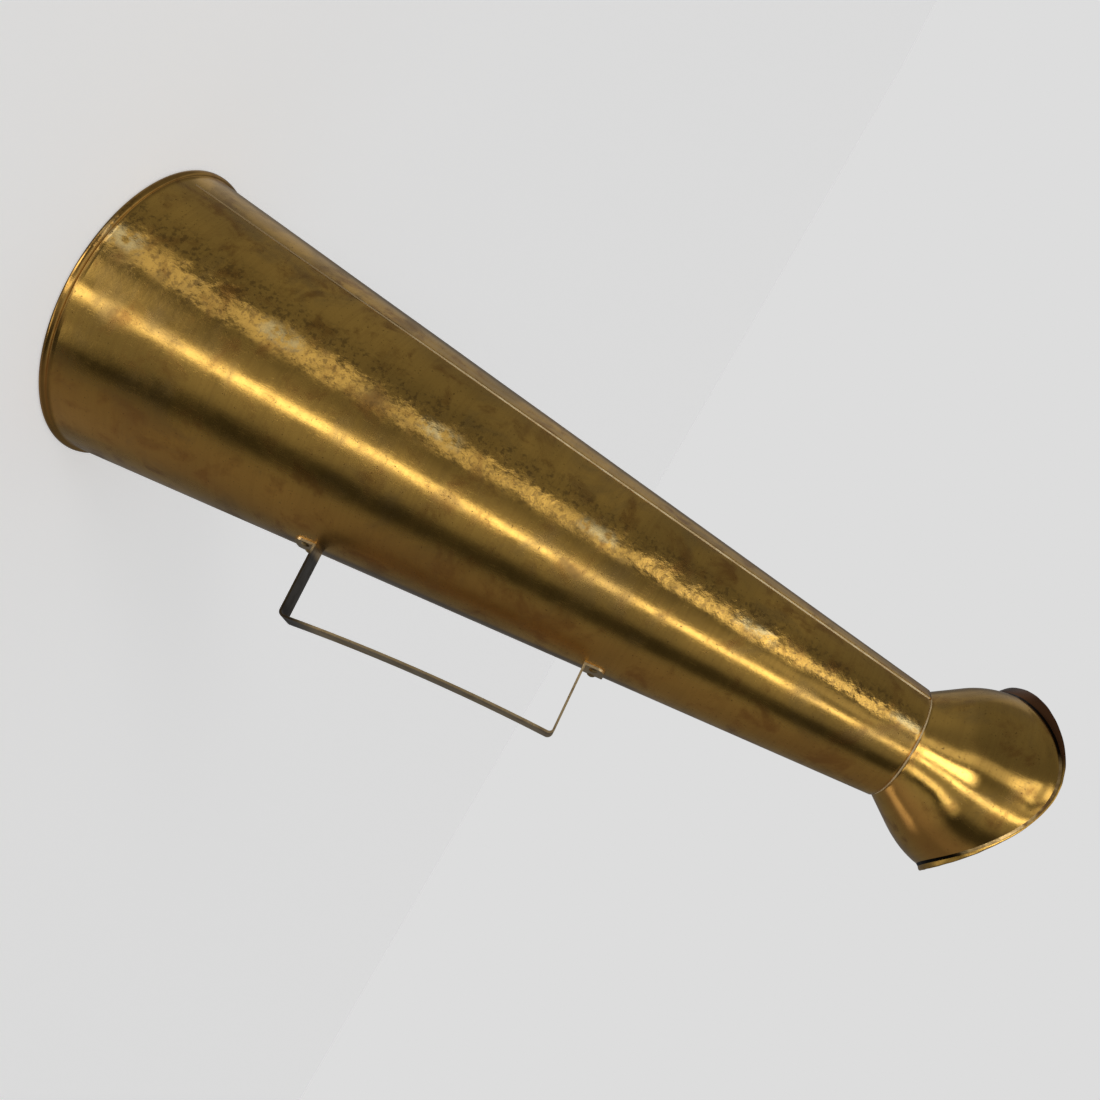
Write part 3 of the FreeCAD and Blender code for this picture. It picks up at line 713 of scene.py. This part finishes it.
def set_camera():
    data = bpy.data.cameras.new("camera")
    data.sensor_width = SENSOR
    data.lens = LENS
    data.clip_start = 0.01
    data.clip_end = 50.0
    camera = bpy.data.objects.new("camera", data)
    bpy.context.scene.collection.objects.link(camera)
    rise = math.radians(LOOK_RISE)
    forward = turned(math.radians(LOOK_AZIMUTH), math.cos(rise), math.sin(rise))
    level = forward.cross(Vector((0.0, 0.0, 1.0))).normalized()
    upright = level.cross(forward)
    roll = math.radians(CAMERA_ROLL)
    right = math.cos(roll) * level + math.sin(roll) * upright
    up = math.cos(roll) * upright - math.sin(roll) * level
    matrix = Matrix((right, up, -forward)).transposed().to_4x4()
    matrix.translation = turned(math.radians(EYE_AZIMUTH), EYE_REACH, EYE_HEIGHT)
    camera.matrix_world = matrix
    bpy.context.scene.camera = camera


# ---- The megaphone ----------------------------------------------------------------------------------

GOLD = (1.0, 0.59, 0.130)
OLIVE = (0.72, 0.43, 0.10)
BROWN = (0.42, 0.19, 0.045)

STRAP = ((0.86, 0.64, 0.34), (0.62, 0.46, 0.24), (0.30, 0.20, 0.10))
RIVET = ((0.62, 0.42, 0.17), (0.50, 0.34, 0.15), (0.25, 0.15, 0.07))
STEEL = ((0.56, 0.56, 0.57), (0.44, 0.43, 0.42), (0.22, 0.13, 0.08))
# Partly the solder's own pale tone, partly a painted highlight: set light so that its lines along the lap
# and round the neck shine.
SOLDER = ((0.90, 0.72, 0.42), (0.72, 0.52, 0.26))
DIRTY_SOLDER = ((0.62, 0.42, 0.17), (0.32, 0.18, 0.07))

# The horn carries painted highlights, the handle's painted shadow and a painted warm reflection; the cup a
# painted warm reflection.
horn_finish = aged_brass("horn_brass", GOLD, OLIVE, BROWN, 0.13, 0.26, busy=1.0, seam=True, reflection_warmth=0.4)
cup_finish = aged_brass("mouthpiece_brass", GOLD, OLIVE, BROWN, 0.12, 0.24, reflection_warmth=0.65)
# The lip carries painted shade on its -X side, the strap painted shade on its leg nearer the bell.
lip_finish = aged_brass("lip_brass", GOLD, OLIVE, BROWN, 0.20, 0.36, shaded_lip_side=(-0.0080, -0.0160))
strap_finish = aged_brass("handle_brass", *STRAP, 0.28, 0.45, shaded_leg=(0.120, 0.133))
rivet_finish = aged_brass("rivet_brass", *RIVET, 0.25, 0.4)
wire_finish = aged_brass("rim_wire_steel", *STEEL, 0.25, 0.4)
# Both solders are set pale to show painted highlights along their lines. The seam's solder turns brown below
# a height.
joint_finish = soft_solder("solder", *SOLDER, metallic=0.15)
seam_finish = soft_solder("seam_solder", *SOLDER, metallic=0.15, brown_below=(0.07, 0.16))
# The lip's solder, painted black with shade at both ends of X.
dirt_and_shade_finish = soft_solder("lip_solder", *DIRTY_SOLDER, shaded_crevice=True)

stand_for(make_horn(), "cone_body", horn_finish)
stand_for(make_cup(), "mouthpiece_cup", cup_finish)
stand_for(make_lip(), "face_flange", lip_finish)
dress(strap_finish, "handle_strap")
dress(rivet_finish, *(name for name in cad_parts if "rivet" in name))
dress(joint_finish, "neck_solder")
dress(seam_finish, "seam_solder")
dress(dirt_and_shade_finish, "flange_solder")
dress(wire_finish, "bell_rim_wire")

studio_world()
lay_floor()
set_camera()
bpy.context.scene.view_settings.view_transform = "Standard"
